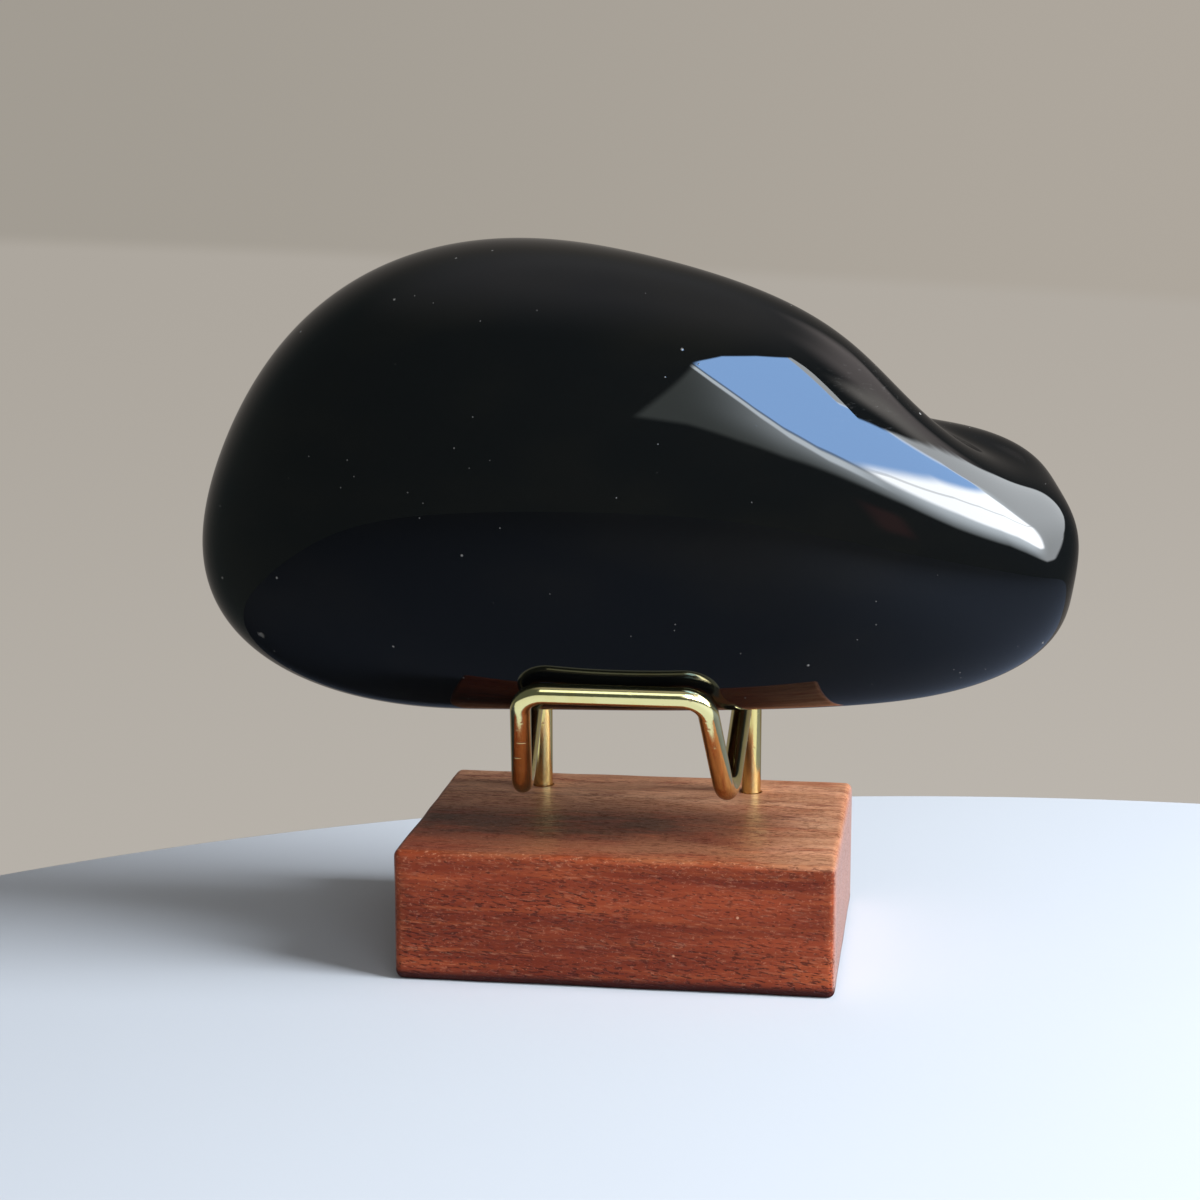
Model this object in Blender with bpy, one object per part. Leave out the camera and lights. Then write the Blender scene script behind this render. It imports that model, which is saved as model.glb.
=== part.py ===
"""A polished obsidian freeform on a bent brass cradle and a small hardwood block.

Metres, +Z up. The origin is the middle of the block's underside. X runs along the block's long side and the
stone's length, and -Y is the front, where the cradle's bar holds the stone.
"""

import math

import bmesh
import bpy
from mathutils import Vector

MM = 0.001

# Where two pieces touch, this much air is left between their meshes.
GAP = 0.3 * MM

# Wood base: a sawn and sanded block.
BLOCK_LENGTH = 67.0 * MM
BLOCK_DEPTH = 51.0 * MM
BLOCK_HEIGHT = 20.4 * MM
BLOCK_ROUNDING = 1.2 * MM
BLOCK_ROUNDING_STEPS = 3
HOLE_DEPTH = 12.0 * MM
HOLE_SIDES = 24

# Brass cradle: one rod of 1/8 inch, bent six times. Heights are above the block's top.
ROD_DIAMETER = 3.175 * MM
POST_X = 17.3 * MM
POST_Y = 16.8 * MM
POST_BEND_HEIGHT = 26.6 * MM
POST_BEND_RADIUS = 4.5 * MM
SIDE_BEND_X = 16.0 * MM
SIDE_BEND_Y = -11.4 * MM
SIDE_BEND_HEIGHT = 5.0 * MM
SIDE_BEND_RADIUS = 5.7 * MM
BAR_X = 13.8 * MM
BAR_Y = -25.4 * MM
BAR_HEIGHT = 25.0 * MM
BAR_BEND_RADIUS = 4.0 * MM
BEND_STEPS = 8
ROD_BEVEL_RESOLUTION = 4

# Stone: an egg-shaped oval, thinner to the right, with swells and hollows on it.
STONE_CENTRE = Vector((7.5, -6.5, 71.9)) * MM
STONE_HALF_LENGTH = 72.5 * MM
STONE_HALF_DEPTH = 26.0 * MM
STONE_HALF_HEIGHT = 43.5 * MM
STONE_DEPTH_TAPER = 0.12
STONE_HEIGHT_TAPER = 0.13
STONE_DROOP = 3.0 * MM
STONE_CUTS = 22

# How far the side outline stands out from the oval, as a share of the radius, every 30 degrees from the right
# end over the top.
OUTLINE_SWELLS = (-0.160, 0.105, -0.050, -0.070, 0.0, -0.020, -0.005, 0.170, -0.035, -0.235, -0.020, 0.040)
OUTLINE_SHARPNESS = 8.0

# Name, turn from the right end over the top (degrees), tilt to the front (degrees), sharpness, height as a share
# of the radius.
FEATURES = (
    ("shoulder", -12.0, 43.0, 15.0, 0.060),
    ("scoop", 41.0, 15.0, 13.0, -0.145),
    ("rear fall", 51.0, -18.0, 6.0, -0.345),
    ("flank", -90.0, 39.0, 1.0, -0.100),
    ("cheek", 175.0, 51.0, 4.0, 0.020),
    ("nose", 2.0, 31.0, 16.0, -0.020),
    ("face", 20.0, 80.0, 7.0, -0.010),
    ("back", 0.0, -78.0, 1.0, -0.040),
    ("pinch", 30.0, 36.0, 13.0, -0.090),
    ("lip", -1.0, 16.0, 31.0, 0.025),
    ("valley", 30.0, 21.0, 39.0, -0.045),
    ("crest", 44.0, -2.0, 28.0, -0.070),
    ("rear slope", 35.0, -35.0, 5.0, -0.010),
    ("front slope", 41.0, 40.0, 4.0, 0.020),
)


def clear_scene():
    for thing in list(bpy.data.objects):
        bpy.data.objects.remove(thing, do_unlink=True)


def material(name, colour, roughness, metallic=0.0):
    made = bpy.data.materials.new(name)
    made.use_nodes = True
    shader = made.node_tree.nodes["Principled BSDF"]
    shader.inputs["Base Color"].default_value = (*colour, 1.0)
    shader.inputs["Roughness"].default_value = roughness
    shader.inputs["Metallic"].default_value = metallic
    made.diffuse_color = (*colour, 1.0)
    return made


def mesh_object(name, bm, finish):
    mesh = bpy.data.meshes.new(name)
    bm.to_mesh(mesh)
    bm.free()
    mesh.materials.append(finish)
    thing = bpy.data.objects.new(name, mesh)
    bpy.context.scene.collection.objects.link(thing)
    return thing


def hole_cutter():
    """The two holes for the posts, open through the block's top."""
    bm = bmesh.new()
    radius = ROD_DIAMETER / 2 + GAP
    spare = 2.0 * MM
    for side in (-1, 1):
        drilled = bmesh.ops.create_cone(
            bm, cap_ends=True, segments=HOLE_SIDES, radius1=radius, radius2=radius, depth=HOLE_DEPTH + spare)
        middle = BLOCK_HEIGHT - HOLE_DEPTH + (HOLE_DEPTH + spare) / 2
        bmesh.ops.translate(bm, verts=drilled["verts"], vec=(side * POST_X, POST_Y, middle))
    cutter = mesh_object("hole_cutter", bm, material("cutter", (1.0, 0.0, 0.0), 0.5))
    cutter.hide_render = True
    cutter.display_type = "WIRE"
    return cutter


def make_wood_base():
    """The block, with eased edges and two blind holes."""
    bm = bmesh.new()
    bmesh.ops.create_cube(bm, size=1.0)
    bmesh.ops.scale(bm, verts=bm.verts, vec=(BLOCK_LENGTH, BLOCK_DEPTH, BLOCK_HEIGHT))
    bmesh.ops.translate(bm, verts=bm.verts, vec=(0.0, 0.0, BLOCK_HEIGHT / 2))
    block = mesh_object("wood_base", bm, material("hardwood", (0.21, 0.045, 0.02), 0.45))
    eased = block.modifiers.new("eased edges", "BEVEL")
    eased.width = BLOCK_ROUNDING
    eased.segments = BLOCK_ROUNDING_STEPS
    drilled = block.modifiers.new("post holes", "BOOLEAN")
    drilled.operation = "DIFFERENCE"
    drilled.solver = "EXACT"
    drilled.object = hole_cutter()
    return block


def rounded_path(corners, radii, steps):
    """The points of a polyline whose inner corners are replaced by arcs of the given radii."""
    points = [corners[0]]
    for before, corner, after, radius in zip(corners, corners[1:], corners[2:], radii):
        back = (before - corner).normalized()
        on = (after - corner).normalized()
        half_angle = back.angle(on) / 2
        centre = corner + (back + on).normalized() * radius / math.sin(half_angle)
        run = radius / math.tan(half_angle)
        start = corner + back * run - centre
        end = corner + on * run - centre
        points += [centre + radius * start.slerp(end, step / steps) for step in range(steps + 1)]
    points.append(corners[-1])
    return points


def cradle_path():
    """The rod's centre line, from the foot of the right post to the foot of the left one."""
    foot = BLOCK_HEIGHT - HOLE_DEPTH + GAP
    right = [
        Vector((POST_X, POST_Y, foot)),
        Vector((POST_X, POST_Y, BLOCK_HEIGHT + POST_BEND_HEIGHT)),
        Vector((SIDE_BEND_X, SIDE_BEND_Y, BLOCK_HEIGHT + SIDE_BEND_HEIGHT)),
        Vector((BAR_X, BAR_Y, BLOCK_HEIGHT + BAR_HEIGHT)),
    ]
    left = [Vector((-point.x, point.y, point.z)) for point in reversed(right)]
    radii = (POST_BEND_RADIUS, SIDE_BEND_RADIUS, BAR_BEND_RADIUS)
    return rounded_path(right + left, radii + radii[::-1], BEND_STEPS)


def make_brass_cradle():
    """One bent rod: two posts, two V-shaped side legs and the front bar."""
    path = cradle_path()
    curve = bpy.data.curves.new("brass_cradle", "CURVE")
    curve.dimensions = "3D"
    curve.bevel_depth = ROD_DIAMETER / 2
    curve.bevel_resolution = ROD_BEVEL_RESOLUTION
    curve.use_fill_caps = True
    spline = curve.splines.new("POLY")
    spline.points.add(len(path) - 1)
    for point, place in zip(spline.points, path):
        point.co = (*place, 1.0)
    curve.materials.append(material("polished brass", (0.80, 0.62, 0.27), 0.15, metallic=1.0))
    cradle = bpy.data.objects.new("brass_cradle", curve)
    bpy.context.scene.collection.objects.link(cradle)
    return cradle


def bearing(turn, tilt):
    """The unit direction at a turn from the right end over the top and a tilt to the front, in degrees."""
    turn = math.radians(turn)
    tilt = math.radians(tilt)
    return Vector((math.cos(tilt) * math.cos(turn), -math.sin(tilt), math.cos(tilt) * math.sin(turn)))


def stone_swells():
    """Every swell and hollow of the stone, as a direction, a sharpness and a height."""
    spacing = 360.0 / len(OUTLINE_SWELLS)
    swells = [
        (bearing(index * spacing, 0.0), OUTLINE_SHARPNESS, height)
        for index, height in enumerate(OUTLINE_SWELLS)
    ]
    swells += [(bearing(turn, tilt), sharpness, height) for _, turn, tilt, sharpness, height in FEATURES]
    return swells


def stone_point(direction, swells):
    """The point of the stone's surface for a unit direction of the plain oval."""
    oval = Vector((
        STONE_HALF_LENGTH * direction.x,
        STONE_HALF_DEPTH * direction.y * (1 - STONE_DEPTH_TAPER * direction.x),
        STONE_HALF_HEIGHT * direction.z * (1 - STONE_HEIGHT_TAPER * direction.x) - STONE_DROOP * direction.x,
    ))
    stretch = 1.0 + sum(
        height * math.exp(sharpness * (direction.dot(middle) - 1.0)) for middle, sharpness, height in swells)
    return STONE_CENTRE + oval * stretch


def make_stone():
    """The stone's skin: a cube whose faces are divided evenly and wrapped over the swelled oval."""
    bm = bmesh.new()
    bmesh.ops.create_cube(bm, size=2.0)
    bmesh.ops.subdivide_edges(bm, edges=bm.edges[:], cuts=STONE_CUTS, use_grid_fill=True)
    swells = stone_swells()
    for vertex in bm.verts:
        evened = Vector([math.tan(value * math.pi / 4) for value in vertex.co])
        vertex.co = stone_point(evened.normalized(), swells)
    stone = mesh_object("stone", bm, material("obsidian", (0.004, 0.004, 0.005), 0.04))
    stone.data.shade_smooth()
    return stone


def main():
    clear_scene()
    make_wood_base()
    make_brass_cradle()
    make_stone()


main()
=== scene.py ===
"""The finish of a polished obsidian freeform that rests in a bent brass cradle on a hardwood block.

It is laid out as an add-on: one operator makes each piece, and one makes the stage it stands on.
"""

import math

import bmesh
import bpy
import numpy as np
from bpy.props import FloatProperty, FloatVectorProperty, IntProperty, PointerProperty
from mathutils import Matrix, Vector, noise


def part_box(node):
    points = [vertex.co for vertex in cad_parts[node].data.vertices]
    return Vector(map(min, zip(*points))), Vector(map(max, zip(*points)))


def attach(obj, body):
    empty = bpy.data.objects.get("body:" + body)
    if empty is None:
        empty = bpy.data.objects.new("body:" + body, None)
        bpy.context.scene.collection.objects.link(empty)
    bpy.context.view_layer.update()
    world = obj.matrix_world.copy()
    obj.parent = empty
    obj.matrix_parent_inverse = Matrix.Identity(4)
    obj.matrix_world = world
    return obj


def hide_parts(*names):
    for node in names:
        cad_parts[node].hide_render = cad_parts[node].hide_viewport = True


bl_info = {
    "name": "Obsidian Freeform on a Brass Cradle",
    "version": (1, 0, 0),
    "blender": (4, 5, 0),
    "location": "View3D > Sidebar > Obsidian",
    "description": "A polished obsidian freeform, its bent brass cradle and its hardwood block",
    "category": "Add Mesh",
}

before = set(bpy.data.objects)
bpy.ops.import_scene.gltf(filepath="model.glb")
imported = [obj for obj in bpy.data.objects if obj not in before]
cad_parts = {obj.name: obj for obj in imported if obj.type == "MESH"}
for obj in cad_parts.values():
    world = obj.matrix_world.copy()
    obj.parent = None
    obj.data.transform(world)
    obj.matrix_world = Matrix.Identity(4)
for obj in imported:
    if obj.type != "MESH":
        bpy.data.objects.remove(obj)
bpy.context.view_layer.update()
BLOCK_LOW, BLOCK_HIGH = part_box("wood_base")

MM = 0.001

# Stone: an egg-shaped oval, thinner to the right, with swells and hollows on it.
STONE_CENTRE = Vector((7.5, -6.5, 71.9)) * MM
STONE_HALF_LENGTH = 72.5 * MM
STONE_HALF_DEPTH = 26.0 * MM
STONE_HALF_HEIGHT = 43.5 * MM
STONE_DEPTH_TAPER = 0.12
STONE_HEIGHT_TAPER = 0.13
STONE_DROOP = 3.0 * MM

# How far the side outline stands out from the oval, as a share of the radius, at even steps all round it from
# the right end over the top.
OUTLINE_SWELLS = (
    -0.160, 0.105, -0.050, -0.070, 0.0, -0.020, -0.005, 0.170, -0.035, -0.235, -0.020, 0.040)
OUTLINE_SHARPNESS = 8.0

# Name, turn from the right end over the top (degrees), tilt to the front (degrees), sharpness, and height as a
# share of the radius. The last five are so slight that only the polish shows them.
FEATURES = (
    ("shoulder", -14.0, 44.0, 10.0, 0.066),
    ("scoop", 41.0, 16.0, 16.0, -0.144),
    ("rear fall", 51.0, -18.0, 6.0, -0.348),
    ("flank", -90.0, 39.0, 1.0, -0.100),
    ("cheek", 175.0, 51.0, 4.0, 0.020),
    ("nose", 2.0, 31.0, 16.0, -0.032),
    ("face", 20.0, 80.0, 7.0, -0.010),
    ("back", 0.0, -78.0, 1.0, -0.040),
    ("pinch", 30.0, 35.0, 10.0, -0.090),
    ("lip", 0.0, 17.0, 37.0, 0.031),
    ("valley", 28.0, 19.0, 38.0, -0.038),
    ("crest", 44.0, -3.0, 34.0, -0.077),
    ("rear slope", 35.0, -35.0, 5.0, -0.010),
    ("front slope", 41.0, 40.0, 4.0, 0.020),
    ("saddle", 22.0, 8.0, 50.0, -0.0045),
    ("nose ridge", 12.0, 14.0, 60.0, 0.0025),
    ("scoop floor", 33.0, 6.0, 50.0, 0.0035),
    ("scoop rim", 42.0, 12.0, 50.0, -0.0020),
    ("pinch floor", 22.0, 26.0, 60.0, 0.0045),
)

# Post holes: depth, sides, the air round and under each post, and how far the drill stands out on top.
HOLE_DEPTH = 12.0 * MM
HOLE_SIDES = 48
GAP = 0.3 * MM
DRILL_SPARE = 2.0 * MM

# Cradle: the rod, and its corners before they are rounded, right half. Heights are above the block's top.
ROD_DIAMETER = 3.175 * MM
POST_X = 17.3 * MM
POST_Y = 16.8 * MM
POST_BEND_HEIGHT = 26.6 * MM
POST_BEND_RADIUS = 4.5 * MM
SIDE_BEND_X = 16.0 * MM
SIDE_BEND_Y = -11.4 * MM
SIDE_BEND_HEIGHT = 5.0 * MM
SIDE_BEND_RADIUS = 5.7 * MM
BAR_X = 13.8 * MM
BAR_Y = -25.4 * MM
BAR_HEIGHT = 25.0 * MM
BAR_BEND_RADIUS = 4.0 * MM
BEND_STEPS = 28
ROD_BEVEL_RESOLUTION = 14
WELD_DISTANCE = 0.001 * MM

# Block: how far its edge rounding wanders, as a share of the rounding, and over what length.
EASE_CHANGE = 0.35
EASE_WANDER = 9.0 * MM

# Edges that turn by more than this stay sharp to the eye.
SHARP_ANGLE = math.radians(40.0)

# The block in millimetres, as the materials see it.
HALF_LENGTH = BLOCK_HIGH.x / MM
HALF_DEPTH = BLOCK_HIGH.y / MM
BLOCK_TOP = BLOCK_HIGH.z / MM

# Glass: its refractive index, then in millimetres the dust and lint on it, the rubbing marks and painted grey
# reflection in its hollow, and a chip.
GLASS_IOR = 1.5
DUST_SPACING = 7.0
DUST_RADIUS = 0.30
LINT_SPACING = 3.2
LINT_RADIUS = 0.14
RUB_REFLECTION_PLACE = (37.0, -23.5, 90.7)
RUB_REFLECTION_REACH = 11.0
CHIP_PLACE = (-56.5, -15.3, 50.5)
CHIP_RADIUS = 1.5

# Brass, in millimetres: how high the brown painted as the wood's reflection reaches, where the posts' darker
# gold painted shade begins and is full, and the two nicks. A mark's shape is how short it is along each axis.
FOOT_REFLECTION_HEIGHT = 9.0
POST_SHADE_FROM = 0.0
POST_SHADE_FULL = 12.0
NICKS = ((-14.55, -20.5, 36.67), (-15.13, -18.53, 33.84))
NICK_SHAPE = (0.9, 1.2, 5.0)

# Wood, in millimetres: the front and back of the dark olive painted shadow of the stone across the top, how it
# slants and wanders, the slant of the grain on the front, the shapes of pores, ticks and flecks, how far from
# an edge the wear begins and is full, and how high the dark line of painted shadow at the foot reaches.
SHADOW_FRONT = -16.0
SHADOW_BACK = 2.0
SHADOW_SLANT = -0.06
SHADOW_WANDER = 18.0
GRAIN_SLANT = math.radians(-6.0)
PORE_SHAPE = (0.58, 2.9, 2.9)
TICK_SHAPE = (0.9, 3.6, 3.6)
FLECK_SHAPE = (1.6, 2.6, 2.6)
WEAR_FROM = 2.4
WEAR_FULL = 0.6
FOOT_SHADOW_HEIGHT = 2.0

# Stage: a round table top.
TABLE_CENTRE = Vector((79.8, -179.2, 0.0)) * MM
TABLE_THICKNESS = 22.0 * MM
TABLE_ROUNDING = 1.5 * MM
TABLE_RIM_STEPS = 4
TABLE_SIDES = 256

# Lamps, in metres. The last two light the cradle alone.
KEY_PLACE = Vector((0.93, -0.20, 0.60))
KEY_SIZE = (0.55, 0.55)
FILL_PLACE = Vector((0.30, -0.95, 0.25))
FILL_SIZE = (0.6, 0.6)
FRONT_PLACE = Vector((-0.05, -0.70, 0.62))
FRONT_SIZE = (0.5, 0.35)
TABLE_LAMP_PLACE = Vector((0.08, -0.177, 0.002))
TABLE_LAMP_AIM = Vector((0.08, -0.177, 1.002))
TABLE_LAMP_SIZE = (0.50, 0.30)
DAYLIGHT = (0.80, 0.88, 1.0)
PALE = (0.88, 0.99, 1.0)

# The window as it shows in the polish. Each line is pairs of degrees: turn from the front to the right, and
# lift over the horizon. The left and right edges have the lift first.
WINDOW_BOTTOM = (
    (-5, 17), (4, 16), (10, 13.5), (15, 12), (30, 12), (40, 10), (60, 8), (68, 5), (80, -1.5), (90, -1.5))
WINDOW_TOP = (
    (5, 36.5), (15, 43.5), (25, 47), (39.5, 50.5), (41.8, 47), (42.2, 34.1), (50, 35.4), (58, 37.4), (70, 40),
    (82, 41.8), (94, 42.4), (104, 42.1), (116, 40))
WINDOW_LEFT = ((10, -5.3), (17, -2), (40, 9.3), (50, 14))
WINDOW_RIGHT = ((-5, 84), (0, 86), (8, 90), (12, 92), (17, 98), (22, 105), (28, 110), (40, 116))
FRAME_LINE = ((6, 41), (10, 33), (15, 24), (18, 20), (22, 17.5), (27, 17), (90, 10))
CLOUD_TOP = ((25, 16.5), (30, 19), (40, 24), (50, 28.5), (60, 31), (75, 34))
CLOUD_BOTTOM = ((27, 17.5), (45, 18), (60, 16.5), (68, 14.5), (72, 12), (77, 7.5), (82, 7.5))
WIRE_LINE = ((27, 17.5), (33, 20), (40, 22), (50, 25), (60, 26), (70, 25), (78, 21))
PANE_TOP = ((0, 52), (37.4, 52), (39.2, 36.3), (55, 36), (68, 37.5), (76, 36), (80, 34))
PANE_RIGHT = ((5, 78.5), (8, 79), (20, 79.5), (30, 77), (36, 74))

# Camera: its place, and how many degrees it looks down and turns to the left.
CAMERA_PLACE = Vector((50.8, -396.9, 129.8)) * MM
CAMERA_DOWN = 10.58
CAMERA_TURN = 8.06
CAMERA_NEAREST = 0.01

DEGREES = 180.0 / math.pi


class Wire:
    """One output socket in a node tree. Operators on it add Math nodes; node() adds any other node."""

    def __init__(self, tree, socket=None):
        self.tree = tree
        self.socket = socket

    def node(self, kind, settings=None, values=None, output=0):
        """Adds a node: its settings first, then the values or wires of its sockets."""
        added = self.tree.nodes.new(kind)
        for name, value in (settings or {}).items():
            if name == "stops":
                self.place_stops(added.color_ramp, value)
            else:
                setattr(added, name, value)
        for name, value in (values or {}).items():
            if isinstance(value, Wire):
                self.tree.links.new(value.socket, added.inputs[name])
            else:
                added.inputs[name].default_value = value
        return Wire(self.tree, added.outputs[output] if len(added.outputs) else None)

    @staticmethod
    def place_stops(ramp, stops):
        """Sets a colour ramp's stops, given as places and colours in order."""
        for element in list(ramp.elements)[1:]:
            ramp.elements.remove(element)
        ramp.elements[0].position, ramp.elements[0].color = stops[0]
        for position, colour in stops[1:]:
            ramp.elements.new(position).color = colour

    def twin(self, output):
        """Another output of the node that this wire leaves."""
        return Wire(self.tree, self.socket.node.outputs[output])

    def maths(self, operation, *values):
        """Adds a Math node on all the given values and wires."""
        return self.node("ShaderNodeMath", {"operation": operation}, dict(enumerate(values)))

    def __add__(self, other):
        return self.maths("ADD", self, other)

    def __radd__(self, other):
        return self.maths("ADD", other, self)

    def __sub__(self, other):
        return self.maths("SUBTRACT", self, other)

    def __rsub__(self, other):
        return self.maths("SUBTRACT", other, self)

    def __mul__(self, other):
        return self.maths("MULTIPLY", self, other)

    def __rmul__(self, other):
        return self.maths("MULTIPLY", other, self)

    def __pow__(self, other):
        return self.maths("POWER", self, other)

    def __neg__(self):
        return self.maths("MULTIPLY", self, -1.0)

    def __abs__(self):
        return self.maths("ABSOLUTE", self)

    def low(self, other):
        return self.maths("MINIMUM", self, other)

    def high(self, other):
        return self.maths("MAXIMUM", self, other)

    def rise(self, start, end):
        """0 below start, 1 above end, smooth between. With start above end it falls instead."""
        if start > end:
            return 1.0 - self.rise(end, start)
        return self.node(
            "ShaderNodeMapRange", {"interpolation_type": "SMOOTHSTEP"},
            {"Value": self, "From Min": start, "From Max": end})

    def profile(self, points):
        """The height, at this place along it, of a line through points."""
        places, heights = zip(*points)
        start, end = places[0], places[-1]
        low, high = min(heights), max(heights)
        stops = [((x - start) / (end - start), rgba([(y - low) / (high - low)] * 3)) for x, y in points]
        share = self.node("ShaderNodeMapRange", None, {"Value": self, "From Min": start, "From Max": end})
        height = self.node("ShaderNodeValToRGB", {"stops": stops}, {"Fac": share})
        return low + height * (high - low)

    def stretched(self, *scale):
        """This vector with each of its parts scaled."""
        return self.node("ShaderNodeVectorMath", {"operation": "MULTIPLY"}, {0: self, 1: scale})

    def parts(self):
        """This vector's X, Y and Z."""
        split = self.node("ShaderNodeSeparateXYZ", None, {"Vector": self})
        return split, split.twin("Y"), split.twin("Z")

    def distance(self, point):
        """How far this position is from a point."""
        return self.node("ShaderNodeVectorMath", {"operation": "DISTANCE"}, {0: self, 1: point}, "Value")

    def noise(self, scale, detail=2.0, roughness=0.5):
        """Cloudy noise from 0 to 1, its clouds 1 / scale wide."""
        return self.node(
            "ShaderNodeTexNoise", None,
            {"Vector": self, "Scale": scale, "Detail": detail, "Roughness": roughness})

    def cells(self, scale):
        """The distance to the nearest of many scattered points, in units of their spacing of 1 / scale."""
        return self.node(
            "ShaderNodeTexVoronoi", {"feature": "F1"}, {"Vector": self, "Scale": scale}, "Distance")

    def specks(self, spacing, radius):
        """Scattered round specks: full within 0.4 of the radius, and gone beyond it."""
        return self.cells(1.0 / spacing).rise(radius / spacing, 0.4 * radius / spacing)

    def tint(self, plain, tinted):
        """This mask as the share of the second colour over the first."""
        plain_socket, tinted_socket, colour_output = 6, 7, 2
        return self.node(
            "ShaderNodeMix", {"data_type": "RGBA"}, {0: self, plain_socket: plain, tinted_socket: tinted},
            colour_output)

    def relief(self, height, strength=1.0):
        """A bump from a height in millimetres."""
        return self.node(
            "ShaderNodeBump", None, {"Height": height, "Strength": strength, "Distance": MM}, "Normal")


def rgba(colour):
    """A colour with full alpha."""
    return (*colour, 1.0)


def new_material(name):
    """An empty material, and the wire of the place on the surface in millimetres."""
    made = bpy.data.materials.new(name)
    made.use_nodes = True
    made.node_tree.nodes.clear()
    place = Wire(made.node_tree).node("ShaderNodeTexCoord", output="Object")
    per_metre = 1.0 / MM
    return made, place.stretched(per_metre, per_metre, per_metre)


def dress(tree, sockets):
    """Ends a material in one Principled shader."""
    shader = tree.node("ShaderNodeBsdfPrincipled", None, sockets)
    tree.node("ShaderNodeOutputMaterial", None, {"Surface": shader})


def obsidian_material(look):
    """Black volcanic glass under a lapidary polish: faint smoke in it, dust on it, rubbing marks and a painted
    grey reflection in its hollow.
    """
    made, place = new_material("polished_obsidian")
    smoke = place.stretched(0.6, 1.0, 1.4).noise(0.035, 3.0).rise(0.45, 0.70)
    body = smoke.tint(rgba(look.glass), rgba(look.smoke))

    specks = place.specks(DUST_SPACING, DUST_RADIUS).high(place.specks(LINT_SPACING, LINT_RADIUS) * 0.6)
    streaks = place.stretched(0.5, 1.6, 2.2).noise(0.9, 4.0, 0.65).rise(0.57, 0.72)
    # Rubbing marks and painted reflection: the hollow is lightened to grey, as the reflection of the wall
    # there.
    rubs_and_reflection = place.distance(RUB_REFLECTION_PLACE).rise(RUB_REFLECTION_REACH, 0.1 * RUB_REFLECTION_REACH) * streaks
    grit = place.stretched(1.0, 1.0, 1.3).noise(1.4, 3.0)
    chip = (place.distance(CHIP_PLACE) + grit * 0.8).rise(CHIP_RADIUS, CHIP_RADIUS - 0.4)
    marks = specks.high(rubs_and_reflection * 0.10).high(chip * 0.5)
    colour = (marks * look.dust_strength).tint(body, rgba(look.dust))

    smears = place.stretched(1.0, 1.0, 0.6).noise(0.06, 3.0).rise(0.50, 0.75)
    roughness = look.polish + smears * 0.015 + specks * 0.5 + rubs_and_reflection * 0.05 + chip * 0.25
    waves = place.noise(0.05, 1.0)
    relief = waves * 0.02 + specks * 0.03 - chip * grit * 0.25
    dress(place, {
        "Base Color": colour,
        "Roughness": roughness,
        "IOR": GLASS_IOR,
        "Normal": place.relief(relief),
    })
    return made


def brass_material(look):
    """Polished brass rod, browner at the feet as a painted reflection of the wood, with painted shade on the
    posts, tarnished spots, fine rubbing marks and two small nicks on the left leg.
    """
    made, place = new_material("polished_brass")
    cloud = place.noise(0.16, 3.0).rise(0.42, 0.72)
    polished = cloud.tint(rgba(look.brass), rgba(look.worn))
    _, depth, height = place.parts()
    # Painted shade: the posts, toward the back, are painted a darker gold.
    rear = depth.rise(POST_SHADE_FROM, POST_SHADE_FULL)
    polished = (rear * 0.85).tint(polished, rgba(look.post_shade))
    # Painted reflection: low on the rod, mostly on the front legs, the brass is browner, as the wood it
    # mirrors; the spots below are tarnished patches.
    low = height.rise(BLOCK_TOP + FOOT_REFLECTION_HEIGHT, BLOCK_TOP) * (1.0 - rear * 0.7)
    spots = place.cells(0.45).rise(0.16, 0.06)
    stain_and_reflection = (low * 0.60 + spots * 0.35).low(1.0)
    colour = stain_and_reflection.tint(polished, rgba(look.tarnish_and_reflection))

    cut = place.stretched(*NICK_SHAPE)
    upper, lower = ([part * scale for part, scale in zip(spot, NICK_SHAPE)] for spot in NICKS)
    nick = cut.distance(upper).rise(1.0, 0.55).high(cut.distance(lower).rise(1.0, 0.55))
    colour = nick.tint(colour, rgba(look.nick))

    hairs = place.stretched(3.5, 3.5, 0.7).noise(1.0, 4.0, 0.7)
    roughness = look.polish + hairs.rise(0.45, 0.80) * 0.10 + stain_and_reflection * 0.12 + nick * 0.3
    relief = hairs * 0.006 - nick * 0.08 - spots * 0.01
    dress(place, {
        "Base Color": colour,
        "Roughness": roughness,
        "Metallic": 1.0 - stain_and_reflection * 0.15,
        "Normal": place.relief(relief),
    })
    return made


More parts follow.
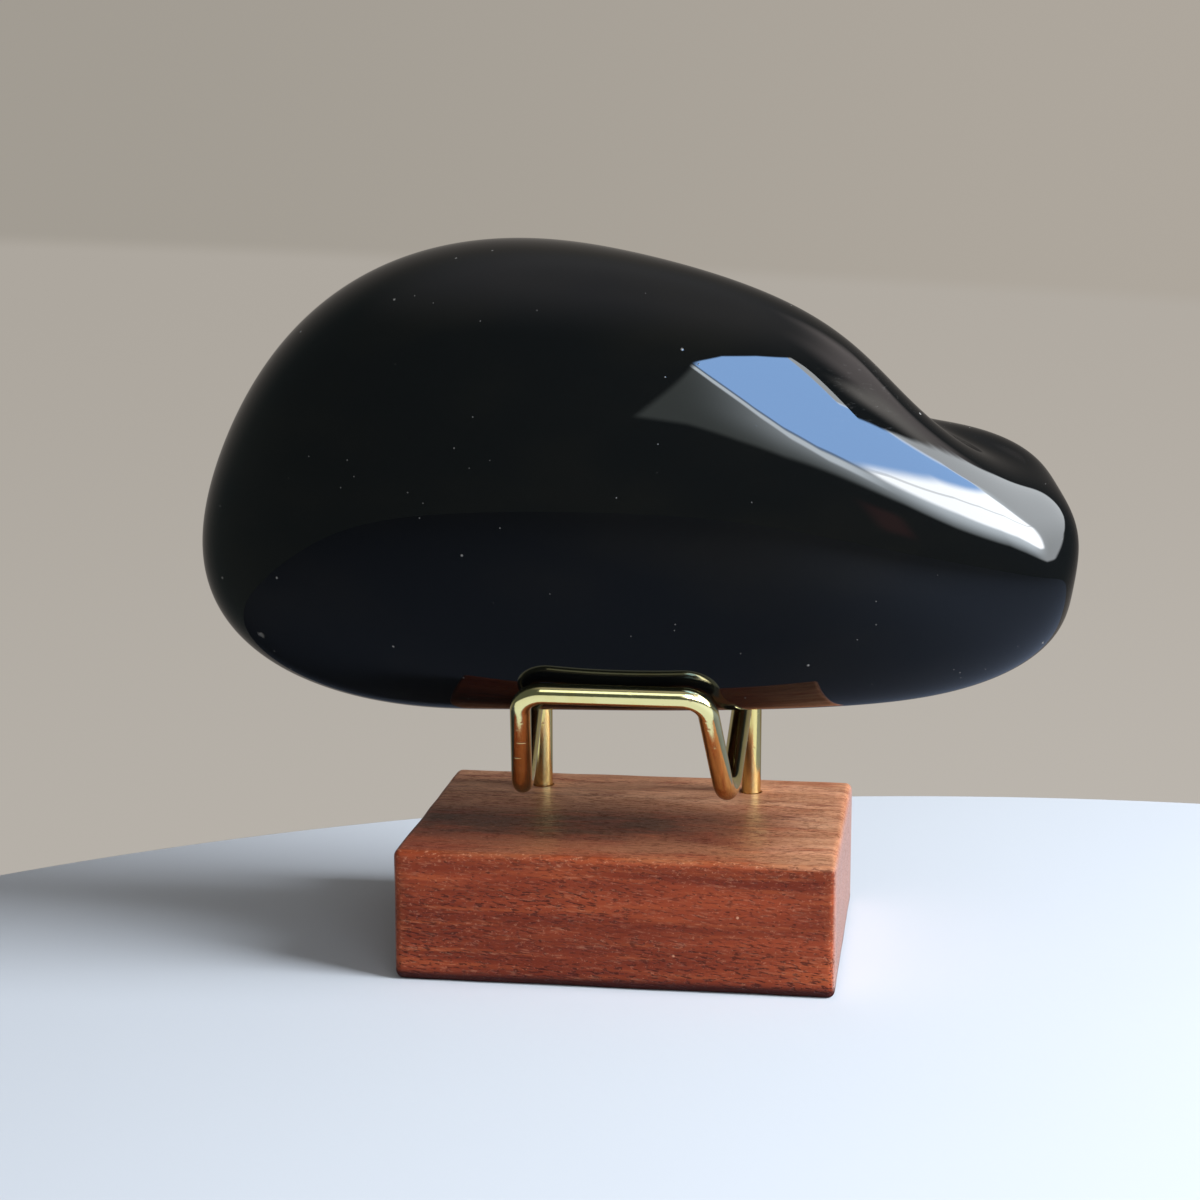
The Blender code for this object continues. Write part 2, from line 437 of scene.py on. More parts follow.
def wood_tones(place, top_face, end_face, look):
    """The wood's colour before pores and wear, and the masks of its figure and its ribbon.

    The colour runs from dark to light red, with a dark olive painted shadow of the stone across the top, paler
    painted light at the back and right of the top, browner patches of painted sheen on the top, and ends made
    pale by painted glare.
    """
    across, depth, _ = place.parts()
    drift = place.stretched(0.35, 1.0, 1.0).noise(0.045) - 0.5
    figure = place.stretched(0.10, 1.0, 1.0).noise(0.22, 4.0, 0.6)
    ribbon = place.stretched(0.05, 1.0, 1.0).noise(0.9, 3.0, 0.6)
    wood = figure.rise(0.35, 0.68).tint(rgba(look.dark), rgba(look.light))
    wood = (ribbon.rise(0.48, 0.72) * 0.45).tint(wood, rgba(look.orange))

    layer = depth + drift * SHADOW_WANDER + across * SHADOW_SLANT
    # Painted shadow: a dark olive band across the top, where the stone above shades it.
    front = layer.rise(SHADOW_FRONT - 3.0, SHADOW_FRONT + 3.0)
    back = layer.rise(SHADOW_BACK + 5.0, SHADOW_BACK - 5.0)
    stone_shadow = front * back * across.rise(30.0, 6.0) * 0.85
    mottle = place.stretched(0.25, 1.0, 1.0).noise(0.5, 4.0, 0.65).rise(0.25, 0.60)
    wood = (stone_shadow * mottle).tint(wood, rgba(look.stone_shadow))

    # Painted light: the back and right of the top are paler, where the window lights them.
    lit_back = layer.rise(SHADOW_BACK - 4.0, SHADOW_BACK + 8.0) * 0.60
    lit_right = across.rise(16.0, 32.0) * 0.65
    pale = lit_back.high(lit_right) * top_face
    wood = (pale * mottle).tint(wood, rgba(look.lit_top))

    # Painted sheen: browner, duller patches over the right of the top.
    patches = place.stretched(0.5, 1.2, 1.0).noise(0.16, 3.0, 0.6).rise(0.35, 0.62)
    top_sheen = top_face * patches * (1.0 - stone_shadow) * across.rise(-45.0, 5.0)
    wood = (top_sheen * 0.6).tint(wood, rgba(look.top_sheen))
    # Painted sheen: the ends are paler, with the window's glare on them.
    wood = (end_face * 0.60).tint(wood, rgba(look.end_glare))
    return wood, figure, ribbon


def near_edge(place, wander):
    """A mask along the block's edges, where the second nearest face is close too."""
    across, depth, height = place.parts()
    middle = BLOCK_TOP / 2
    to_end = HALF_LENGTH - abs(across)
    to_face = HALF_DEPTH - abs(depth)
    to_top = middle - abs(height - middle)
    nearest = to_end.low(to_face).low(to_top)
    furthest = to_end.high(to_face).high(to_top)
    second = to_end + to_face + to_top - nearest - furthest
    return (second + wander).rise(WEAR_FROM, WEAR_FULL)


def wood_material(look):
    """Red hardwood, its grain along the block: short dark pores, pale flecks, worn edges and a painted shadow
    along its foot.
    """
    made, place = new_material("red_hardwood")
    across, _, height = place.parts()
    top_face = height.rise(BLOCK_TOP - 0.9, BLOCK_TOP - 0.1)
    end_face = abs(across).rise(HALF_LENGTH - 0.5, HALF_LENGTH)
    wood, figure, ribbon = wood_tones(place, top_face, end_face, look)

    turned = {"Vector": place, "Rotation": (0.0, GRAIN_SLANT, 0.0)}
    slanted = place.node("ShaderNodeMapping", None, turned)
    crowd = place.stretched(0.12, 1.0, 1.0).noise(0.16).rise(0.34, 0.60) * (1.0 - end_face * 0.6)
    pores = slanted.stretched(*PORE_SHAPE).noise(1.0, 2.0, 0.55).rise(0.545, 0.605)
    ticks = slanted.stretched(*TICK_SHAPE).noise(1.0, 1.0).rise(0.64, 0.70)
    open_grain = (pores * (0.30 + crowd * 0.70)).high(ticks * 0.8)
    wood = (open_grain * (0.78 - top_face * 0.28)).tint(wood, rgba(look.pore))
    fibres = slanted.stretched(0.45, 3.2, 3.2).noise(1.0, 3.0, 0.7)
    wood = (fibres.rise(0.54, 0.78) * 0.30).tint(wood, rgba(look.fleck))
    speckle = place.stretched(*FLECK_SHAPE).noise(1.0, 3.0, 0.7)
    wood = (speckle.rise(0.60, 0.69) * (0.26 + top_face * 0.34)).tint(wood, rgba(look.fleck))

    edge = near_edge(place, (figure - 0.5) * 2.0)
    wood = (edge * 0.16 * height.rise(2.0, 10.0)).tint(wood, rgba(look.orange))
    worn = edge * height.rise(2.0, 6.0) * speckle.rise(0.55, 0.66)
    wood = (worn * 0.25).tint(wood, rgba(look.fleck))
    # Painted shadow: the foot of the block darkens almost to the pore colour, where it meets the table.
    foot_shadow = height.rise(FOOT_SHADOW_HEIGHT, FOOT_SHADOW_HEIGHT - 1.1)
    wood = (foot_shadow * 0.95).tint(wood, rgba(look.pore))
    dust = place.specks(DUST_SPACING, DUST_RADIUS)
    wood = (dust * 0.7).tint(wood, rgba(look.fleck))

    roughness = look.satin + (figure - 0.5) * 0.12 + open_grain * 0.2 - edge * 0.05 + fibres * 0.04
    relief = fibres * 0.035 + ribbon * 0.03 - open_grain * 0.10 + dust * 0.05
    dress(place, {
        "Base Color": wood,
        "Roughness": roughness,
        "Specular IOR Level": 0.25,
        "Coat Weight": 0.05 - open_grain * 0.04,
        "Coat Roughness": 0.28,
        "Normal": place.relief(relief, 0.9),
    })
    return made


def table_material(look):
    """A pale matt table top. In reflections it is painted darker as shade, lighter on its window side as
    painted light and darker towards its far parts, so that the glass above it stays black.
    """
    made, place = new_material("pale_table")
    across, _, _ = place.parts()
    cloudy = place.noise(0.02, 3.0) * 0.10
    toned = cloudy.tint(rgba(look.table), rgba(look.table_shade))
    # Painted light and shade, for reflections only: darker in the stone's shade, lighter where the window
    # lights the table, darker towards its far parts.
    painted_window_light = across.rise(25.0, 110.0)
    near = painted_window_light.tint(rgba(look.table_mirrored), rgba(look.table_mirrored_lit))
    far = place.distance((0.0, 0.0, 0.0)).rise(60.0, 390.0)
    dimmed = far.tint(near, rgba(look.table_far))
    mirrored = place.node("ShaderNodeLightPath", output="Is Glossy Ray")
    dress(place, {
        "Base Color": mirrored.tint(toned, dimmed),
        "Roughness": 0.45,
        "Specular IOR Level": 0.0,
    })
    return made


def add_piece(name, mesh, material):
    """A finished mesh as an object that rides on the part's only body."""
    mesh.materials.clear()
    mesh.materials.append(material)
    piece = bpy.data.objects.new(name, mesh)
    bpy.context.scene.collection.objects.link(piece)
    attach(piece, "root")
    return piece


def mesh_from(bm, name):
    """The finished bmesh as a mesh."""
    mesh = bpy.data.meshes.new(name)
    bm.to_mesh(mesh)
    bm.free()
    return mesh


def smooth(mesh):
    """Shades a mesh smooth, except over its sharp edges."""
    mesh.shade_smooth()
    mesh.set_sharp_from_angle(angle=SHARP_ANGLE)
    return mesh


def require_closed(mesh):
    """Stops where a mesh has an open, double or stray edge."""
    bm = bmesh.new()
    bm.from_mesh(mesh)
    faulty = sum(not edge.is_manifold for edge in bm.edges)
    bm.free()
    if faulty:
        raise RuntimeError(f"{mesh.name} has {faulty} edges that aren't shared by two faces")


def bearing(turn, tilt):
    """The unit direction at a turn from the right end over the top and a tilt to the front (degrees)."""
    turn = math.radians(turn)
    tilt = math.radians(tilt)
    return np.array((math.cos(tilt) * math.cos(turn), -math.sin(tilt), math.cos(tilt) * math.sin(turn)))


def stone_points(directions, look):
    """The stone's surface for unit directions of the plain oval."""
    across, back, up = directions.T
    oval = np.stack([
        look.half_length * across,
        look.half_depth * back * (1 - STONE_DEPTH_TAPER * across),
        look.half_height * up * (1 - STONE_HEIGHT_TAPER * across) - STONE_DROOP * across,
    ], axis=1)
    spacing = 360.0 / len(OUTLINE_SWELLS)
    stretch = np.ones(len(directions))
    for index, height in enumerate(OUTLINE_SWELLS):
        stretch += height * np.exp(OUTLINE_SHARPNESS * (directions @ bearing(index * spacing, 0.0) - 1.0))
    for _, turn, tilt, sharpness, height in FEATURES:
        stretch += height * np.exp(sharpness * (directions @ bearing(turn, tilt) - 1.0))
    return np.array(STONE_CENTRE) + oval * stretch[:, None]


def stone_mesh(look):
    """A cube whose faces are divided evenly and wrapped over the swelled oval."""
    bm = bmesh.new()
    bmesh.ops.create_cube(bm, size=2.0)
    bmesh.ops.subdivide_edges(bm, edges=bm.edges[:], cuts=look.cuts, use_grid_fill=True)
    mesh = mesh_from(bm, "polished_stone")
    corners = np.empty(len(mesh.vertices) * 3)
    mesh.vertices.foreach_get("co", corners)
    directions = np.tan(corners.reshape(-1, 3) * math.pi / 4)
    directions /= np.linalg.norm(directions, axis=1, keepdims=True)
    mesh.vertices.foreach_set("co", stone_points(directions, look).ravel())
    mesh.shade_smooth()
    mesh.update()
    return mesh


def rounded_path(corners, radii, steps):
    """The points of a polyline whose inner corners are replaced by arcs of the given radii."""
    points = [corners[0]]
    for before, corner, after, radius in zip(corners, corners[1:], corners[2:], radii):
        back = (before - corner).normalized()
        on = (after - corner).normalized()
        half_angle = back.angle(on) / 2
        centre = corner + (back + on).normalized() * radius / math.sin(half_angle)
        run = radius / math.tan(half_angle)
        start = corner + back * run - centre
        end = corner + on * run - centre
        points += [centre + radius * start.slerp(end, step / steps) for step in range(steps + 1)]
    points.append(corners[-1])
    return points


def cradle_path():
    """The rod's centre line, from the foot of the right post to the foot of the left one."""
    top = BLOCK_HIGH.z
    right = [
        Vector((POST_X, POST_Y, top - HOLE_DEPTH + GAP)),
        Vector((POST_X, POST_Y, top + POST_BEND_HEIGHT)),
        Vector((SIDE_BEND_X, SIDE_BEND_Y, top + SIDE_BEND_HEIGHT)),
        Vector((BAR_X, BAR_Y, top + BAR_HEIGHT)),
    ]
    left = [Vector((-point.x, point.y, point.z)) for point in reversed(right)]
    radii = (POST_BEND_RADIUS, SIDE_BEND_RADIUS, BAR_BEND_RADIUS)
    return rounded_path(right + left, radii + radii[::-1], BEND_STEPS)


def cradle_mesh(look):
    """One bent rod: two posts, two V-shaped side legs and the front bar."""
    path = cradle_path()
    curve = bpy.data.curves.new("bent_cradle", "CURVE")
    curve.dimensions = "3D"
    curve.bevel_depth = look.rod_diameter / 2
    curve.bevel_resolution = ROD_BEVEL_RESOLUTION
    curve.use_fill_caps = True
    spline = curve.splines.new("POLY")
    spline.points.add(len(path) - 1)
    for point, place in zip(spline.points, path):
        point.co = (*place, 1.0)
    spline.use_smooth = True
    rod = bpy.data.objects.new("bent_cradle", curve)
    mesh = bpy.data.meshes.new_from_object(rod)
    mesh.name = "bent_cradle"
    bpy.data.objects.remove(rod)
    bpy.data.curves.remove(curve)
    weld = bmesh.new()
    weld.from_mesh(mesh)
    bmesh.ops.remove_doubles(weld, verts=weld.verts[:], dist=WELD_DISTANCE)
    bmesh.ops.recalc_face_normals(weld, faces=weld.faces[:])
    weld.to_mesh(mesh)
    weld.free()
    return smooth(mesh)


def cut_places(half, look):
    """Where the cuts fall along one side of the block: close together round each edge, and even between."""
    rim = look.rim_steps
    last = look.cuts + 1
    places = []
    for step in range(last + 1):
        if step <= rim:
            places.append(-half + look.rounding * math.tan(step / rim * math.pi / 4))
        elif step >= last - rim:
            places.append(half - look.rounding * math.tan((last - step) / rim * math.pi / 4))
        else:
            along = (step - rim) / (last - 2 * rim)
            places.append((half - look.rounding) * (2 * along - 1))
    return places


def eased_block(look):
    """A box with its edges rounded by hand: the rounding swells and shrinks a little along each edge."""
    half = Vector((look.length, look.depth, look.height)) / 2
    bm = bmesh.new()
    bmesh.ops.create_cube(bm, size=2.0)
    bmesh.ops.subdivide_edges(bm, edges=bm.edges[:], cuts=look.cuts, use_grid_fill=True)
    spread = [cut_places(side, look) for side in half]
    last = look.cuts + 1
    for vertex in bm.verts:
        steps = [round((value + 1) / 2 * last) for value in vertex.co]
        place = Vector([places[step] for places, step in zip(spread, steps)])
        radius = look.rounding * (1.0 + EASE_CHANGE * noise.noise(place / EASE_WANDER))
        inner = Vector([
            max(radius - side, min(side - radius, value))
            for side, value in zip(half, place)
        ])
        outward = place - inner
        vertex.co = inner + outward.normalized() * radius + Vector((0.0, 0.0, half.z))
    return bm


def drill_bits(look):
    """Two drill bits that stand where the post holes go."""
    bm = bmesh.new()
    radius = look.hole_diameter / 2
    length = HOLE_DEPTH + DRILL_SPARE
    middle = look.height - HOLE_DEPTH + length / 2
    for side in (-1, 1):
        bit = bmesh.ops.create_cone(
            bm, cap_ends=True, segments=HOLE_SIDES, radius1=radius, radius2=radius, depth=length)
        bmesh.ops.translate(bm, verts=bit["verts"], vec=(side * POST_X, POST_Y, middle))
    return bm


def block_mesh(look):
    """The eased block with two blind holes for the posts."""
    block = bpy.data.objects.new("whole_block", mesh_from(eased_block(look), "whole_block"))
    cutter = bpy.data.objects.new("drill_bits", mesh_from(drill_bits(look), "drill_bits"))
    for thing in (block, cutter):
        bpy.context.scene.collection.objects.link(thing)
    holes = block.modifiers.new("post holes", "BOOLEAN")
    holes.operation = "DIFFERENCE"
    holes.solver = "EXACT"
    holes.object = cutter
    bpy.context.view_layer.update()
    drilled = block.evaluated_get(bpy.context.evaluated_depsgraph_get())
    mesh = bpy.data.meshes.new_from_object(drilled)
    mesh.name = "sanded_block"
    for thing in (block, cutter):
        bpy.data.objects.remove(thing)
    return smooth(mesh)


def table_mesh(look):
    """A round table top with an eased rim."""
    bm = bmesh.new()
    bmesh.ops.create_cone(
        bm, cap_ends=True, segments=TABLE_SIDES, radius1=look.table_radius, radius2=look.table_radius,
        depth=TABLE_THICKNESS)
    bmesh.ops.translate(bm, verts=bm.verts, vec=TABLE_CENTRE - Vector((0.0, 0.0, TABLE_THICKNESS / 2)))
    rims = [
        edge for edge in bm.edges
        if abs(edge.verts[0].co.z - edge.verts[1].co.z) < TABLE_THICKNESS / 2
    ]
    bmesh.ops.bevel(
        bm, geom=rims, offset=TABLE_ROUNDING, segments=TABLE_RIM_STEPS, profile=0.5, affect="EDGES")
    return smooth(mesh_from(bm, "round_table"))


def window_opening(turn, lift):
    """A mask of the whole window, by the direction from the stone, with its sill and sides a little soft."""
    bottom = (lift - turn.profile(WINDOW_BOTTOM)).rise(-1.0, 1.0)
    top = (turn.profile(WINDOW_TOP) - lift).rise(-0.3, 0.4)
    left = (turn - lift.profile(WINDOW_LEFT)).rise(-0.8, 0.8)
    right = (lift.profile(WINDOW_RIGHT) - turn).rise(-1.5, 1.5)
    return bottom * top * left * right


def window_light(turn, lift, look):
    """The colours in the window: its shaded edge and pale reveal, then sky and cloud through the pane."""
    over_sill = (lift - turn.profile(WINDOW_BOTTOM)).rise(-2.0, 9.0)
    colour = (turn.rise(0.0, 32.0) ** 1.7 * over_sill).tint(rgba(look.curtain), rgba(look.haze))
    over = lift - turn.profile(PANE_TOP)
    beside = turn.rise(72.0, 82.0).high(over.rise(-0.6, 0.6))
    colour = beside.tint(colour, rgba(look.reveal))
    shaded_reveal = turn.rise(74.0, 82.0) * lift.rise(28.0, 4.0)
    colour = (shaded_reveal * 0.3).tint(colour, rgba(look.curtain))

    pane = over.rise(0.6, -0.6) * (lift.profile(PANE_RIGHT) - turn).rise(-0.8, 0.8)
    cloud = pane * (lift - turn.profile(CLOUD_BOTTOM)).rise(-1.0, 1.0) * turn.rise(27.0, 31.0)
    colour = cloud.tint(colour, rgba(look.cloud))
    line = abs(lift - turn.profile(WIRE_LINE)).rise(0.45, 0.20) * cloud
    colour = (line * 0.35).tint(colour, rgba(look.curtain))
    over_frame = lift - turn.profile(FRAME_LINE)
    over_cloud = lift - turn.profile(CLOUD_TOP)
    blue = pane * over_frame.rise(0.0, 0.8) * over_cloud.rise(-1.0, 1.6)
    colour = blue.tint(colour, rgba(look.sky))

    frame_ends = turn.rise(32.0, 24.0)
    rim = over_frame.rise(-2.6, -1.5) * over_frame.rise(0.3, -0.4) * frame_ends
    colour = (rim * 0.9).tint(colour, rgba(look.haze))
    gap = over_frame.rise(0.1, 0.5) * over_frame.rise(1.3, 0.8) * frame_ends
    return (gap * 0.6).tint(colour, rgba(look.curtain))


def room_mirrored(toward, look):
    """What the stone mirrors: a dim room, its ceiling lit over one wide bright window on the right."""
    across, along, up = toward.parts()
    turn = across.maths("ARCTAN2", across, -along) * DEGREES
    lift = up.maths("ARCSINE", up) * DEGREES
    room = along.rise(0.1, 0.8).tint(rgba(look.room), rgba(look.wall_mirrored))
    room = lift.rise(42.0, 74.0).tint(room, rgba(look.ceiling))
    spill = turn.rise(52.0, 78.0) * turn.rise(142.0, 118.0) * lift.rise(40.0, 43.5) * lift.rise(67.0, 50.0)
    room = spill.tint(room, rgba(look.spill))
    glow = lift.rise(38.0, 43.0) * lift.rise(48.5, 43.5) * turn.rise(45.0, 62.0) * turn.rise(100.0, 72.0)
    room = glow.tint(room, rgba(look.glow))
    warm = turn.rise(20.0, 23.0) * turn.rise(28.0, 25.0) * lift.rise(-3.0, 1.0) * lift.rise(8.0, 5.0)
    room = (warm * 0.5).tint(room, rgba(look.warm))
    return window_opening(turn, lift).tint(room, window_light(turn, lift, look))


def wall_seen(toward, look):
    """What stands behind the object: a beige wall with a soft ledge across it, dimmer to the left."""
    across, _, up = toward.parts()
    ledge = (up + across * 0.05).rise(-0.0675, -0.0600)
    wall = up.rise(-0.30, -0.05).tint(rgba(look.wall_low), rgba(look.wall))
    wall = ledge.tint(wall, rgba(look.wall_high))
    dim = across.rise(0.09, -0.36) * (0.16 + ledge * 0.34)
    return dim.tint(wall, rgba(look.wall_dim))


def light_room(look):
    """The world: a wall to the eye, a room with a window in polish, and soft daylight on everything else."""
    world = bpy.data.worlds.new("room")
    world.use_nodes = True
    world.node_tree.nodes.clear()
    tree = Wire(world.node_tree)
    toward = tree.node("ShaderNodeTexCoord", output="Generated")
    to_eye = tree.node("ShaderNodeLightPath", output="Is Camera Ray")
    to_polish = to_eye.twin("Is Glossy Ray")
    across, along, up = toward.parts()
    bright_side = (across * 0.6 - along * 0.45 + up * 0.25).rise(-0.4, 1.0)
    soft = bright_side.tint(rgba(look.dim_light), rgba(look.daylight))
    lit = to_polish.tint(soft, room_mirrored(toward, look))
    colour = to_eye.tint(lit, wall_seen(toward, look))
    background = tree.node("ShaderNodeBackground", None, {"Color": colour, "Strength": 1.0})
    tree.node("ShaderNodeOutputWorld", None, {"Surface": background})
    bpy.context.scene.world = world


def add_lamp(name, place, aim, sides, power, colour, only=()):
    """A soft rectangular lamp. With pieces in only, it lights those and shows in their polish alone."""
    lamp = bpy.data.lights.new(name, "AREA")
    lamp.shape = "RECTANGLE"
    lamp.size, lamp.size_y = sides
    lamp.energy = power
    lamp.color = colour
    made = bpy.data.objects.new(name, lamp)
    made.location = place
    made.rotation_euler = (Vector(aim) - Vector(place)).to_track_quat("-Z", "Y").to_euler()
    made.visible_camera = False
    made.visible_glossy = bool(only)
    bpy.context.scene.collection.objects.link(made)
    if only:
        lit = bpy.data.collections.new(name + "_lights")
        for piece in only:
            lit.objects.link(piece)
        made.light_linking.receiver_collection = lit


def add_camera(look):
    """The camera, a little over the stone and to its right."""
    camera = bpy.data.objects.new("camera", bpy.data.cameras.new("camera"))
    camera.data.lens = look.lens
    camera.data.clip_start = CAMERA_NEAREST
    camera.location = CAMERA_PLACE
    camera.rotation_euler = [math.radians(angle) for angle in (90.0 - CAMERA_DOWN, 0.0, CAMERA_TURN)]
    bpy.context.scene.collection.objects.link(camera)
    bpy.context.scene.camera = camera


def size(name, metres, description):
    return FloatProperty(
        name=name, description=description, default=metres, min=0.0, unit="LENGTH", subtype="DISTANCE",
        precision=4)


def shade(name, colour, description):
    return FloatVectorProperty(
        name=name, description=description, default=colour, size=3, min=0.0, soft_max=1.0, subtype="COLOR")


def share(name, value, description):
    return FloatProperty(
        name=name, description=description, default=value, min=0.0, max=1.0, subtype="FACTOR")


def watts(name, value, description):
    return FloatProperty(name=name, description=description, default=value, min=0.0, unit="POWER")


def count(name, value, description, highest):
    return IntProperty(name=name, description=description, default=value, min=4, max=highest)


class ObsidianStoneSettings(bpy.types.PropertyGroup):
    half_length: size("Half Length", STONE_HALF_LENGTH, "Half the oval's length")
    half_depth: size("Half Depth", STONE_HALF_DEPTH, "Half the oval's depth")
    half_height: size("Half Height", STONE_HALF_HEIGHT, "Half the oval's height")
    cuts: count("Cuts", 119, "Cuts on each side of the wrapped cube", 120)
    glass: shade("Glass", (0.0022, 0.0024, 0.0026), "The black of the glass")
    smoke: shade("Smoke", (0.0046, 0.0042, 0.0034), "The brown smoke in the glass")
    dust: shade("Dust", (0.50, 0.47, 0.42), "Dust and rubs")
    dust_strength: share("Dust Strength", 0.45, "How plainly the dust shows")
    polish: share("Roughness", 0.012, "Roughness of the polished face")


class ObsidianCradleSettings(bpy.types.PropertyGroup):
    rod_diameter: size("Rod Diameter", ROD_DIAMETER, "Diameter of the brass rod")
    brass: shade("Brass", (0.86, 0.75, 0.38), "Polished brass")
    worn: shade("Worn Brass", (0.80, 0.65, 0.28), "Brass where the polish has dulled")
    # Painted shade: the posts' darker gold.
    post_shade: shade("Golden Brass", (0.80, 0.62, 0.24), "The less handled brass of the posts")
    # Tarnished spots, and the brown painted low on the rod as the wood's reflection.
    tarnish_and_reflection: shade("Tarnish", (0.30, 0.15, 0.05), "Brown film at the feet and in spots")
    nick: shade("Nick", (0.95, 0.90, 0.74), "Bare metal in a nick")
    polish: share("Roughness", 0.11, "Roughness of the polished rod")


class ObsidianBlockSettings(bpy.types.PropertyGroup):
    length: size("Length", BLOCK_HIGH.x - BLOCK_LOW.x, "Length along the stone")
    depth: size("Depth", BLOCK_HIGH.y - BLOCK_LOW.y, "Depth from front to back")
    height: size("Height", BLOCK_HIGH.z - BLOCK_LOW.z, "Thickness of the board")
    rounding: size("Rounding", 1.2 * MM, "Radius of the eased edges")
    hole_diameter: size("Hole Diameter", ROD_DIAMETER + 2 * GAP, "Diameter of the post holes")
    cuts: count("Cuts", 51, "Cuts on each side of the block", 80)
    rim_steps: count("Rim Steps", 6, "How many of the steps round each edge", 12)
    dark: shade("Dark Red", (0.148, 0.0205, 0.0066), "The dark of the figure")
    light: shade("Light Red", (0.275, 0.046, 0.014), "The light of the figure")
    orange: shade("Orange", (0.39, 0.086, 0.023), "Orange ribbons and worn edges")
    # Painted shadow of the stone across the top.
    stone_shadow: shade("Olive Streak", (0.050, 0.022, 0.009), "The dark olive streak across the top")
    # Painted light on the back and right of the top.
    lit_top: shade("Pale Pink", (0.82, 0.43, 0.23), "The pale wood at the back and right of the top")
    # Painted sheen on the top.
    top_sheen: shade("Faded Top", (0.34, 0.135, 0.058), "The top, browner than the sides")
    # Painted glare on the ends.
    end_glare: shade("End Grain", (0.43, 0.32, 0.275), "The pale sanded end grain")
    pore: shade("Pore", (0.036, 0.006, 0.004), "Open pores")
    fleck: shade("Fleck", (0.62, 0.30, 0.17), "Pale rays and fibres")
    satin: share("Roughness", 0.46, "Roughness of the oiled face")


class ObsidianStageSettings(bpy.types.PropertyGroup):
    table_radius: size("Table Radius", 277.9 * MM, "Radius of the round table top")
    table: shade("Table", (0.63, 0.64, 0.645), "The pale table top")
    table_shade: shade("Table Shade", (0.52, 0.53, 0.545), "The faint cloudiness of the table top")
    # Painted tones of the table in reflections: its shade, the painted light on its window side and its darker
    # far parts.
    table_mirrored: shade("Mirrored Table", (0.088, 0.100, 0.124), "The table top in the glass")
    table_mirrored_lit: shade("Mirrored Bright Side", (0.215, 0.245, 0.310), "Its window side in the glass")
    table_far: shade("Mirrored Rim", (0.046, 0.050, 0.056), "The table's far parts in the glass")
    wall: shade("Wall", (0.440, 0.405, 0.360), "The beige wall")
    wall_low: shade("Lower Wall", (0.500, 0.465, 0.420), "The beige wall, lower down")
    wall_high: shade("Upper Wall", (0.422, 0.384, 0.335), "The beige wall, over its ledge")
    wall_dim: shade("Dim Wall", (0.300, 0.280, 0.245), "The beige wall on the dim side")
    wall_mirrored: shade("Mirrored Wall", (0.24, 0.22, 0.20), "The wall as the glass mirrors it")
    room: shade("Dim Room", (0.082, 0.100, 0.098), "The room in reflections")
    ceiling: shade("Ceiling", (0.34, 0.34, 0.36), "The ceiling in reflections")
    spill: shade("Spill", (1.60, 1.42, 1.38), "The window's light on the ceiling")
    glow: shade("Glow", (2.40, 2.25, 2.10), "The brightest of the ceiling, just over the window")
    warm: shade("Warm Thing", (0.60, 0.22, 0.22), "A reddish thing in the room")
    dim_light: shade("Dim Light", (0.110, 0.098, 0.088), "Soft light from the dim side")
    daylight: shade("Daylight", (0.42, 0.44, 0.47), "Soft light from the window side")
    key_power: watts("Key Power", 30.0, "The soft key lamp")
    fill_power: watts("Fill Power", 4.0, "The low fill lamp at the front")
    front_power: watts("Front Power", 0.9, "The cradle's own lamp")
    table_power: watts("Table Power", 0.38, "The table's glow in the cradle")
    sky: shade("Sky", (5.0, 8.7, 15.5), "Blue sky in the window")
    cloud: shade("Cloud", (24.0, 25.0, 26.0), "Bright cloud in the window")
    haze: shade("Haze", (11.0, 12.2, 13.2), "Pale haze in the window")
    reveal: shade("Reveal", (7.2, 7.6, 7.9), "The window's pale side and rim")
    curtain: shade("Curtain", (0.75, 0.84, 0.80), "The window's shaded edge")
    lens: FloatProperty(name="Lens", description="Focal length", default=78.0, min=10.0, unit="CAMERA")


class OBSIDIAN_OT_polished_stone(bpy.types.Operator):
    """Makes the polished obsidian, which stands for the solid stone"""

    bl_idname = "obsidian.polished_stone"
    bl_label = "Polished Stone"

    def execute(self, context):
        look = context.scene.obsidian_stone
        mesh = stone_mesh(look)
        require_closed(mesh)
        stone = add_piece("polished_stone", mesh, obsidian_material(look))
        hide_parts("stone")
        return {"FINISHED"}


class OBSIDIAN_OT_bent_cradle(bpy.types.Operator):
    """Makes the bent brass rod that holds the stone"""

    bl_idname = "obsidian.bent_cradle"
    bl_label = "Bent Cradle"

    def execute(self, context):
        look = context.scene.obsidian_cradle
        mesh = cradle_mesh(look)
        require_closed(mesh)
        cradle = add_piece("bent_cradle", mesh, brass_material(look))
        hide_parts("brass_cradle")
        return {"FINISHED"}


class OBSIDIAN_OT_sanded_block(bpy.types.Operator):
    """Makes the hardwood block with its two post holes"""

    bl_idname = "obsidian.sanded_block"
    bl_label = "Sanded Block"

    def execute(self, context):
        look = context.scene.obsidian_block
        mesh = block_mesh(look)
        require_closed(mesh)
        block = add_piece("sanded_block", mesh, wood_material(look))
        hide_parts("wood_base")
        return {"FINISHED"}


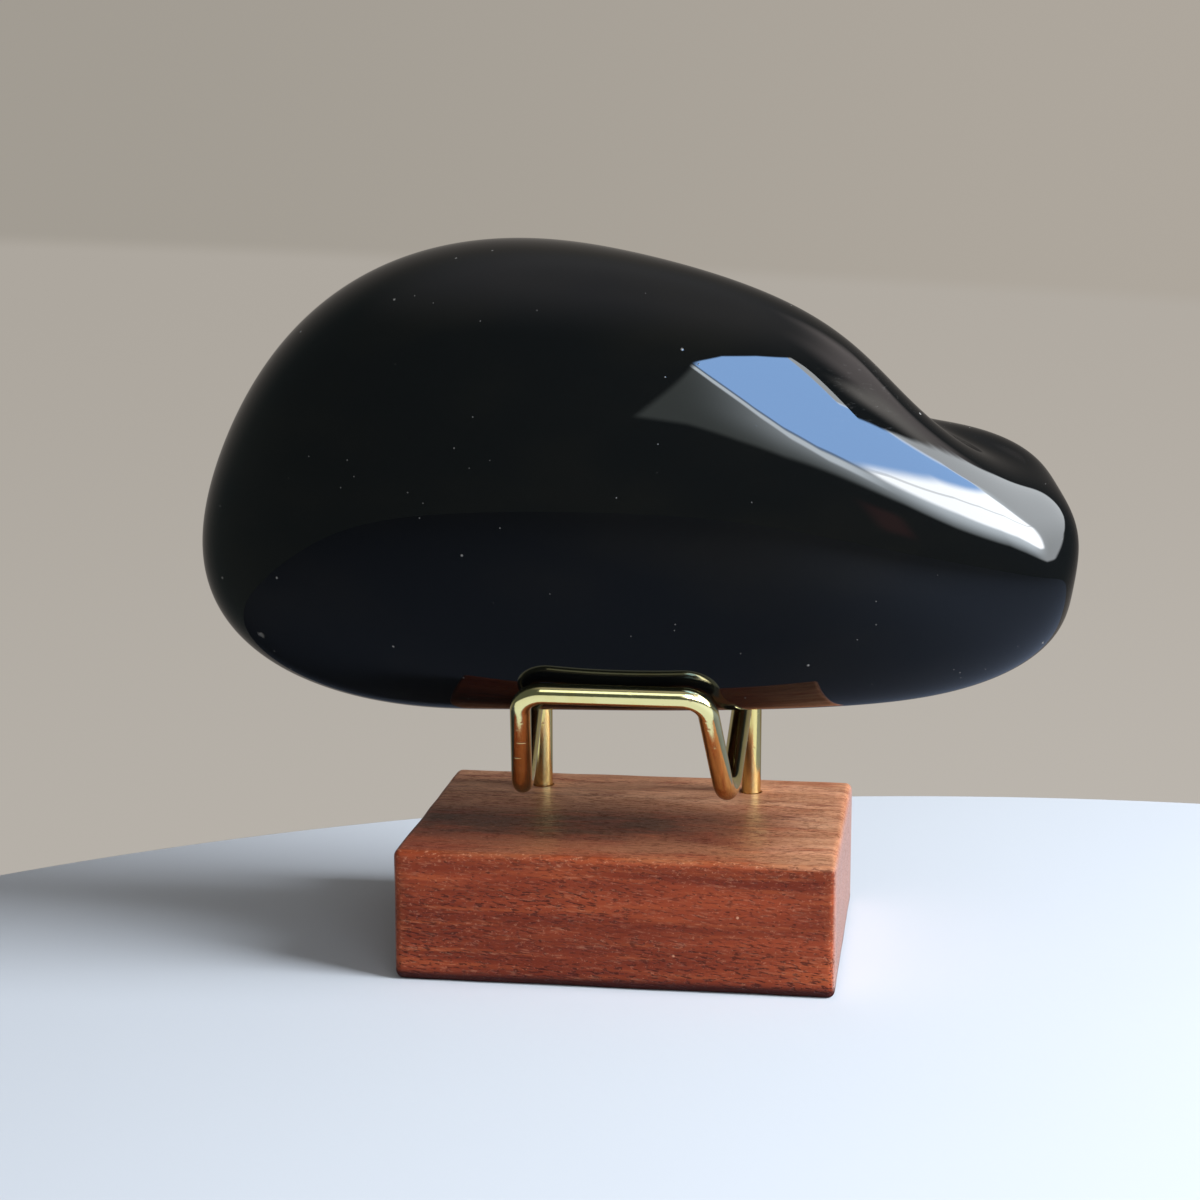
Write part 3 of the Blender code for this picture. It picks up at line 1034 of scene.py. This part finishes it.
class OBSIDIAN_OT_stage(bpy.types.Operator):
    """Sets the round pale table, the soft light and the camera"""

    bl_idname = "obsidian.stage"
    bl_label = "Stage"

    def execute(self, context):
        look = context.scene.obsidian_stage
        mesh = table_mesh(look)
        mesh.materials.append(table_material(look))
        table = bpy.data.objects.new("round_table", mesh)
        context.scene.collection.objects.link(table)
        light_room(look)
        brass = [bpy.data.objects["bent_cradle"]]
        add_lamp("key_lamp", KEY_PLACE, STONE_CENTRE, KEY_SIZE, look.key_power, DAYLIGHT)
        add_lamp("fill_lamp", FILL_PLACE, STONE_CENTRE, FILL_SIZE, look.fill_power, DAYLIGHT)
        add_lamp("front_lamp", FRONT_PLACE, STONE_CENTRE, FRONT_SIZE, look.front_power, PALE, brass)
        add_lamp(
            "table_lamp", TABLE_LAMP_PLACE, TABLE_LAMP_AIM, TABLE_LAMP_SIZE, look.table_power, PALE, brass)
        add_camera(look)
        if context.scene.camera is None:
            raise RuntimeError("the stage has no camera")
        context.scene.view_settings.view_transform = "Standard"
        return {"FINISHED"}


class OBSIDIAN_PT_pieces(bpy.types.Panel):
    """Lists the pieces in the order they are made"""

    bl_idname = "OBSIDIAN_PT_pieces"
    bl_label = "Obsidian Freeform"
    bl_space_type = "VIEW_3D"
    bl_region_type = "UI"
    bl_category = "Obsidian"

    def draw(self, context):
        for operator, settings in PIECES:
            box = self.layout.box()
            box.operator(operator.bl_idname)
            group = getattr(context.scene, settings)
            for name in group.bl_rna.properties.keys():
                if name not in ("rna_type", "name"):
                    box.prop(group, name)


SETTINGS = {
    "obsidian_stone": ObsidianStoneSettings,
    "obsidian_cradle": ObsidianCradleSettings,
    "obsidian_block": ObsidianBlockSettings,
    "obsidian_stage": ObsidianStageSettings,
}

PIECES = (
    (OBSIDIAN_OT_polished_stone, "obsidian_stone"),
    (OBSIDIAN_OT_bent_cradle, "obsidian_cradle"),
    (OBSIDIAN_OT_sanded_block, "obsidian_block"),
    (OBSIDIAN_OT_stage, "obsidian_stage"),
)

CLASSES = (*SETTINGS.values(), *(operator for operator, _ in PIECES), OBSIDIAN_PT_pieces)


def register():
    for made in CLASSES:
        bpy.utils.register_class(made)
    for name, group in SETTINGS.items():
        setattr(bpy.types.Scene, name, PointerProperty(type=group))


def unregister():
    for name in SETTINGS:
        delattr(bpy.types.Scene, name)
    for made in reversed(CLASSES):
        bpy.utils.unregister_class(made)


def main():
    register()
    bpy.ops.obsidian.polished_stone()
    bpy.ops.obsidian.bent_cradle()
    bpy.ops.obsidian.sanded_block()
    bpy.ops.obsidian.stage()


if __name__ == "__main__":
    main()
